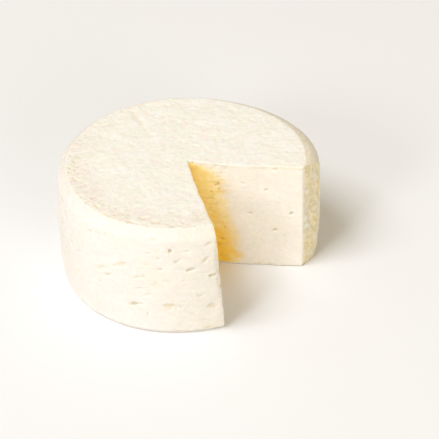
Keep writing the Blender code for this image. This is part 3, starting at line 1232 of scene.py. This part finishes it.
    def _hole_shade(self, hollows: list[Hollow]) -> np.ndarray:
        """Give where painted shade lines the deep holes.

        Args:
            hollows: The deep holes.

        Returns:
            From 0 outside the holes to 1 on their floors, where the painted shade is darkest.
        """
        inside = np.zeros(len(self.points))
        for hollow in hollows:
            near, reach, below = hollow.reach(self.points)
            lined = fall(self.hole_shade_rim, reach) * rise(self.hole_shade_floor, below)
            inside[near] = np.maximum(inside[near], lined)
        return inside


@dataclass(frozen=True)
class Cloud:
    """A cloudy value: its lumps to a metre, its noise's limits, the values there, and its detail."""

    scale: float
    limits: Range = (0.44, 0.60)
    values: Range = (0.0, 1.0)
    detail: float = 1.0


@dataclass
class Shading:
    """The nodes of one material, and the place on the piece that they read."""

    tree: bpy.types.NodeTree
    place: Socket

    def feed(self, node: bpy.types.Node, inputs: dict[str | int, Socket | Colour | float]) -> bpy.types.Node:
        """Link sockets to a node's inputs, or set them to constants.

        Args:
            node: The node.
            inputs: What goes into each input.

        Returns:
            The same node.
        """
        for name, value in inputs.items():
            if isinstance(value, Socket):
                self.tree.links.new(value, node.inputs[name])
            else:
                node.inputs[name].default_value = value
        return node

    def mark(self, name: str) -> Socket:
        """Read one of the piece's own attributes.

        Args:
            name: The attribute's name.

        Returns:
            The socket with its value.
        """
        node = self.tree.nodes.new("ShaderNodeAttribute")
        node.attribute_name = name
        return node.outputs["Fac"]

    def noise(self, scale: float, detail: float) -> Socket:
        """Make a noise with so many lumps to a metre, and so much fine detail."""
        lumps = self.tree.nodes.new("ShaderNodeTexNoise")
        return self.feed(lumps, {"Scale": scale, "Detail": detail, "Vector": self.place}).outputs["Fac"]

    def cloud(self, cloud: Cloud) -> Socket:
        """Make a cloudy value.

        Args:
            cloud: What the value is like.

        Returns:
            The socket with the value.
        """
        inputs = dict(zip(("From Min", "From Max", "To Min", "To Max"), (*cloud.limits, *cloud.values)))
        inputs["Value"] = self.noise(cloud.scale, cloud.detail)
        return self.feed(self.tree.nodes.new("ShaderNodeMapRange"), inputs).outputs["Result"]

    def mixed(
        self, share: Socket, under: Socket | Colour, over: Socket | Colour, blend: Blend = Blend.COVER
    ) -> Socket:
        """Mix two colours.

        Args:
            share: How much of the second colour shows.
            under: The first colour.
            over: The second colour.
            blend: How the second colour is laid on the first.

        Returns:
            The socket with the mixed colour.
        """
        mix = self.tree.nodes.new("ShaderNodeMix")
        mix.data_type = "RGBA"
        mix.blend_type = blend.value
        return self.feed(mix, {"Factor": share, 6: under, 7: over}).outputs[2]

    def varied(self, colour: Socket, factor: Socket) -> Socket:
        """Multiply a colour's brightness by a value.

        Args:
            colour: The colour to vary.
            factor: The value.

        Returns:
            The socket with the varied colour.
        """
        scaled = self.tree.nodes.new("ShaderNodeVectorMath")
        scaled.operation = "SCALE"
        return self.feed(scaled, {0: colour, "Scale": factor}).outputs["Vector"]

    def bump(self, height: Socket, strength: float, distance: float) -> Socket:
        """Bump the surface by a height, and give the socket with its normal."""
        inputs = {"Height": height, "Strength": strength, "Distance": distance}
        return self.feed(self.tree.nodes.new("ShaderNodeBump"), inputs).outputs["Normal"]


@dataclass(frozen=True)
class CheeseFinish:
    """The moist cream-white finish of fresh pressed cheese, with painted glow and shade laid on it."""

    rind: Colour = (0.850, 0.808, 0.758, 1.0)
    rose: Colour = (0.860, 0.796, 0.748, 1.0)
    butter: Colour = (0.842, 0.798, 0.692, 1.0)
    top: Colour = (0.966, 0.940, 0.885, 1.0)
    blush: Colour = (0.960, 0.904, 0.844, 1.0)
    # The band inside the front-left rim: partly pressed marks, partly painted shade.
    rim: Colour = (0.945, 0.905, 0.880, 1.0)
    cream: Colour = (0.936, 0.921, 0.832, 1.0)
    paste: Colour = (0.912, 0.856, 0.772, 1.0)
    # Painted shade in the holes and on the broken corner, slightly olive.
    hole: Colour = (0.860, 0.868, 0.775, 1.0)
    # Painted shade in the low places, slightly yellow.
    sunk_shade: Colour = (0.925, 0.903, 0.785, 1.0)
    # Painted warm shade for the rind's shaded side behind the right cut.
    warm_shade: Colour = (0.990, 0.955, 0.850, 1.0)
    # Painted glow and shade of light bounced deep in the notch, not the paste's own colour.
    notch_glow: Colour = (1.000, 0.764, 0.280, 1.0)
    deep_notch_glow: Colour = (1.000, 0.640, 0.080, 1.0)
    rose_patches: Cloud = Cloud(95.0)
    butter_patches: Cloud = Cloud(55.0, (0.48, 0.72), (0.0, 0.55))
    cream_patches: Cloud = Cloud(70.0)
    blush_patches: Cloud = Cloud(120.0, values=(0.0, 0.9))
    brightness: tuple[Pair, ...] = ((90.0, 0.020), (330.0, 0.030), (900.0, 0.025))
    brightness_limits: Range = (0.3, 0.7)
    brightness_detail: float = 3.0
    roughness: Cloud = Cloud(210.0, (0.3, 0.7), (0.46, 0.62), 3.0)
    scatter: float = 0.25
    scatter_reach: float = 5.0 * MM
    scatter_colours: Triple = (1.0, 0.72, 0.45)
    shine: float = 0.35
    grain: Pair = (750.0, 4.0)
    grain_strength: float = 0.5
    grain_height: float = 0.35 * MM

    def material(self, name: str) -> bpy.types.Material:
        """Make the material.

        Args:
            name: The material's name.

        Returns:
            The material.
        """
        material = bpy.data.materials.new(name)
        material.use_nodes = True
        tree = material.node_tree
        nodes = Shading(tree, tree.nodes.new("ShaderNodeTexCoord").outputs["Object"])
        surface = {
            "Base Color": self._colour(nodes),
            "Roughness": nodes.cloud(self.roughness),
            "Subsurface Weight": self.scatter,
            "Subsurface Radius": self.scatter_colours,
            "Subsurface Scale": self.scatter_reach,
            "Specular IOR Level": self.shine,
            "Normal": nodes.bump(nodes.noise(*self.grain), self.grain_strength, self.grain_height),
        }
        nodes.feed(tree.nodes["Principled BSDF"], surface)
        return material

    def _colour(self, nodes: Shading) -> Socket:
        """Lay the rind's, the top's and the paste's colours over each other with the painted glow in the
        notch, tint them with painted shade, and vary them.

        Args:
            nodes: The material's nodes.

        Returns:
            The socket with the colour.
        """
        colour = nodes.mixed(nodes.cloud(self.rose_patches), self.rind, self.rose)
        colour = nodes.mixed(nodes.cloud(self.butter_patches), colour, self.butter)
        colour = nodes.mixed(nodes.mark("aged"), colour, self.butter)
        creamy = nodes.mixed(nodes.cloud(self.cream_patches), self.top, self.cream)
        blushed = nodes.mixed(nodes.cloud(self.blush_patches), creamy, self.blush)
        # The top and the paste lie over the rind, and the painted glow of the notch over them.
        for name, over in (
            ("top", blushed), ("paste", self.paste), ("notch_glow", self.notch_glow), ("deep_notch_glow", self.deep_notch_glow)
        ):
            colour = nodes.mixed(nodes.mark(name), colour, over)
        # Tints: painted warm shade behind the right cut, the front-left rim band (partly painted shade), and
        # painted shade in the low places and holes.
        for name, tint in (("warm_shade", self.warm_shade), ("rim", self.rim), ("sunk_shade", self.sunk_shade), ("hole", self.hole)):
            colour = nodes.mixed(nodes.mark(name), colour, tint, Blend.TINT)
        for scale, amount in self.brightness:
            cloud = Cloud(scale, self.brightness_limits, (1 - amount, 1 + amount), self.brightness_detail)
            colour = nodes.varied(colour, nodes.cloud(cloud))
        return colour


@dataclass
class CheeseWheel:
    """The dressed wheel of cheese: its form, notch, hollows, relief and finish."""

    form: WheelForm = field(default_factory=WheelForm)
    notch: Notch = field(default_factory=Notch)
    hollows: HollowField = field(default_factory=HollowField)
    finish: CheeseFinish = CheeseFinish()
    voxel: float = 0.62 * MM
    triangles: int = 192000
    smooth_below: float = math.radians(70.0)
    piece: Piece = field(init=False)

    def build(self) -> Piece:
        """Model the cheese and dress it.

        Returns:
            The finished piece.
        """
        hollows = self.hollows.drawn(self.form, self.notch)
        deep = [hollow for hollow in hollows if hollow.kind is not HollowKind.CRAG]
        self.piece = self.form.build(PIECE)
        self._cut(self.notch.cutter(self.form))
        self._cut(self.hollows.cutter(deep))
        self._remesh()
        CurdRelief(self.form, self.notch).carve(self.piece, hollows)
        ColourMarks(self.piece, self.form, self.notch).write(deep)
        self._thin()
        self._centre()
        self.dress()
        return self.piece

    def dress(self) -> None:
        """Smooth the piece's shading and give it its finish."""
        show_only(self.piece)
        bpy.ops.object.shade_smooth_by_angle(angle=self.smooth_below)
        self.piece.data.materials.clear()
        self.piece.data.materials.append(self.finish.material("fresh_cheese"))

    def _cut(self, cutter: Piece) -> None:
        """Cut a mesh out of the piece.

        Args:
            cutter: The mesh to take away, which is removed.
        """
        boolean = self.piece.modifiers.new("cut", "BOOLEAN")
        boolean.operation = "DIFFERENCE"
        boolean.solver = "EXACT"
        boolean.object = cutter
        apply_modifier(self.piece, boolean)
        bpy.data.objects.remove(cutter, do_unlink=True)

    def _remesh(self) -> None:
        """Give the piece an even mesh that is fine enough for its relief."""
        remesh = self.piece.modifiers.new("even_mesh", "REMESH")
        remesh.mode = "VOXEL"
        remesh.voxel_size = self.voxel
        apply_modifier(self.piece, remesh)

    def _thin(self) -> None:
        """Join facets where the surface is plain, down to the number wanted."""
        thin = self.piece.modifiers.new("thin", "DECIMATE")
        thin.ratio = min(1.0, self.triangles / (2 * len(self.piece.data.polygons)))
        apply_modifier(self.piece, thin)

    def _centre(self) -> None:
        """Move the piece in its mesh so that it lies over the CAD node."""
        low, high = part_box(NODE)
        points = vertex_values(self.piece)
        middle = (points.min(axis=0) + points.max(axis=0)) / 2
        points[:, :2] += (np.array(low)[:2] + np.array(high)[:2]) / 2 - middle[:2]
        move_vertices(self.piece, points)


@dataclass(frozen=True)
class FloorFinish:
    """The plain pale floor."""

    colour: Colour = (0.900, 0.908, 0.930, 1.0)
    roughness: float = 0.9

    def material(self, name: str) -> bpy.types.Material:
        """Make the material.

        Args:
            name: The material's name.

        Returns:
            The material.
        """
        material = bpy.data.materials.new(name)
        material.use_nodes = True
        surface = material.node_tree.nodes["Principled BSDF"]
        surface.inputs["Base Color"].default_value = self.colour
        surface.inputs["Roughness"].default_value = self.roughness
        return material


@dataclass(frozen=True)
class SoftBox:
    """One soft studio light."""

    name: str
    place: Triple
    power: float
    size: float
    colour: Triple

    def build(self, target: Vector) -> None:
        """Hang the light and turn it to its target.

        Args:
            target: Where the light points.
        """
        lamp = bpy.data.lights.new(self.name, "AREA")
        lamp.energy = self.power
        lamp.size = self.size
        lamp.color = self.colour
        hung = bpy.data.objects.new(self.name, lamp)
        hung.location = self.place
        hung.rotation_mode = "QUATERNION"
        hung.rotation_quaternion = (target - Vector(self.place)).to_track_quat("-Z", "Y")
        bpy.context.scene.collection.objects.link(hung)


@dataclass
class Studio:
    """The floor, the lights and the camera."""

    camera_place: Triple = (-0.81 * MM, -1062.7 * MM, 759.2 * MM)
    camera_aim: Triple = (20.6 * MM, -4.6 * MM, 34.7 * MM)
    camera_roll: float = math.radians(1.23)
    lens: float = 150.5
    sensor: float = 36.0
    farthest: float = 50.0
    floor_size: float = 12.0
    sky: Colour = (1.0, 0.865, 0.625, 1.0)
    sky_strength: float = 0.45
    floor: FloorFinish = FloorFinish()
    light_aim: Triple = (0.0, 0.0, 0.04)
    lights: tuple[SoftBox, ...] = (
        SoftBox("key_light", (-2.21, -2.83, 1.79), 36.0, 1.0, (0.905, 0.940, 1.0)),
        SoftBox("top_light", (-3.12, -1.80, 6.24), 314.0, 3.6, (0.905, 0.940, 1.0)),
        SoftBox("fill_light", (1.43, -3.53, 1.28), 31.0, 1.4, (1.0, 0.975, 0.93)),
    )

    def build(self) -> None:
        """Set up the whole studio."""
        self._lay_floor()
        for light in self.lights:
            light.build(Vector(self.light_aim))
        self._light_sky()
        self._set_camera()
        bpy.context.scene.view_settings.view_transform = "Standard"

    def _lay_floor(self) -> None:
        """Lay the pale floor."""
        bpy.ops.mesh.primitive_plane_add(size=self.floor_size)
        floor = bpy.context.object
        floor.name = "floor"
        floor.data.materials.append(self.floor.material("pale_floor"))
        floor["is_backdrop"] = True

    def _light_sky(self) -> None:
        """Light the scene evenly from all round."""
        world = bpy.data.worlds.new("studio")
        world.use_nodes = True
        background = world.node_tree.nodes["Background"]
        background.inputs["Color"].default_value = self.sky
        background.inputs["Strength"].default_value = self.sky_strength
        bpy.context.scene.world = world

    def _set_camera(self) -> None:
        """Place the camera."""
        lens = bpy.data.cameras.new("camera")
        lens.lens = self.lens
        lens.sensor_width = self.sensor
        lens.clip_end = self.farthest
        camera = bpy.data.objects.new("camera", lens)
        bpy.context.scene.collection.objects.link(camera)
        camera.location = self.camera_place
        look = Vector(self.camera_aim) - Vector(self.camera_place)
        camera.rotation_mode = "QUATERNION"
        roll = Matrix.Rotation(self.camera_roll, 3, look.normalized()).to_quaternion()
        camera.rotation_quaternion = roll @ look.to_track_quat("-Z", "Y")
        bpy.context.scene.camera = camera


def write_sizes() -> None:
    """Log the CAD box and the visual model's box."""
    boxes = {"cad": CAD_BOX, "visual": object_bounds()}
    plain = {name: [list(corner) for corner in box] for name, box in boxes.items()}
    for name, box in plain.items():
        log.info("%s box %s", name, box)


def main() -> None:
    """Build the cheese and the studio, and report each piece."""
    logging.basicConfig(level=logging.INFO, format="%(name)s: %(message)s")
    cheese = CheeseWheel().build()
    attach(cheese, "root")
    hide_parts(NODE)
    log.info("%s: %d faces", cheese.name, len(cheese.data.polygons))
    Studio().build()
    write_sizes()


if __name__ == "__main__":
    main()
